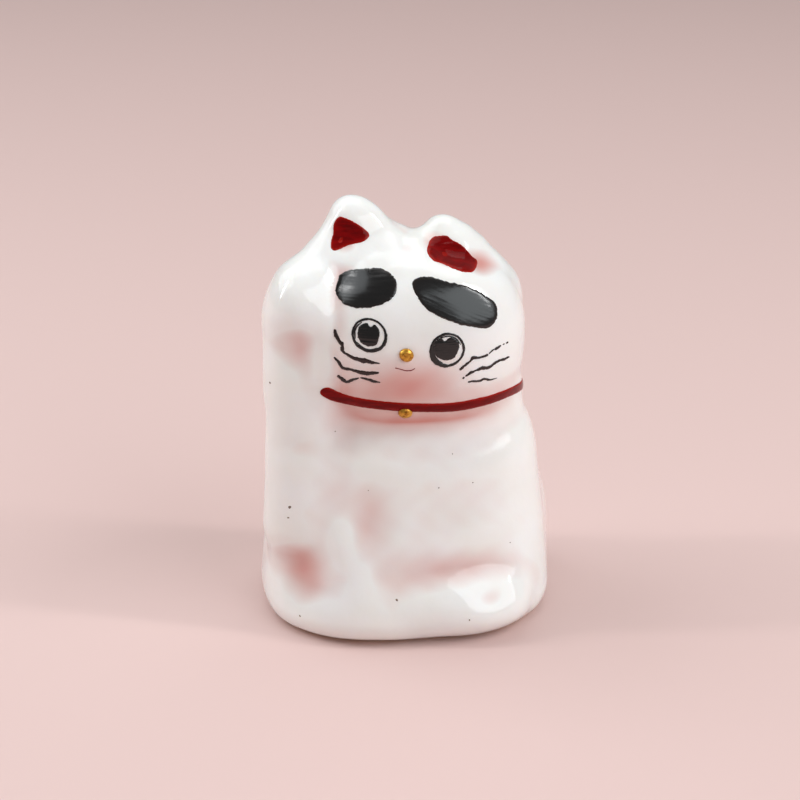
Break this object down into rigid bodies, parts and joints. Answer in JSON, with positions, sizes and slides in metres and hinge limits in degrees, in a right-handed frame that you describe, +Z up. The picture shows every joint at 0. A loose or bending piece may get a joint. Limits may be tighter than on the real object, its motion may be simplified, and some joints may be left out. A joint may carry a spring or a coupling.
{
  "type": "figurine",
  "caption": "Seated beckoning cat figurine of hollow glazed pottery with one paw raised beside its head, painted face, red collar and gold bell; stands on its flat foot",
  "frame": {"origin": "on the table under the middle of the figure, at the level of its flat foot", "axes": "+Z up along the height; the cat faces -Y; +X is the cat's own left, so the raised right paw is on the -X side"},
  "size_m": [0.0532, 0.0446, 0.076],
  "materials": {
    "biscuit_clay": "unglazed fired clay, matt",
    "white_glaze": "thick glossy warm white glaze",
    "red_enamel": "deep red overglaze enamel, glossy",
    "mouth_enamel": "thin dark red brush line",
    "black_enamel": "black overglaze enamel, glossy",
    "brown_enamel": "dark brown brush lines, glossy",
    "gold_lustre": "gold lustre over a raised enamel dome"
  },
  "bodies": {
    "root": {"clay_front_half": "biscuit_clay", "clay_back_half": "biscuit_clay", "base_slab": "biscuit_clay", "glaze_coat": "white_glaze", "ear_right_red": "red_enamel", "ear_left_red": "red_enamel", "collar_band": "red_enamel", "mouth": "mouth_enamel", "brow_patch_right": "black_enamel", "brow_patch_left": "black_enamel", "eye_ring_right": "black_enamel", "eye_ring_left": "black_enamel", "pupil_right": "black_enamel", "pupil_left": "black_enamel", "whisker_right_upper": "brown_enamel", "whisker_right_middle": "brown_enamel", "whisker_right_lower": "brown_enamel", "whisker_left_upper": "brown_enamel", "whisker_left_middle": "brown_enamel", "whisker_left_lower": "brown_enamel", "nose_bead": "gold_lustre", "bell_bead": "gold_lustre"}
  },
  "joints": []
}
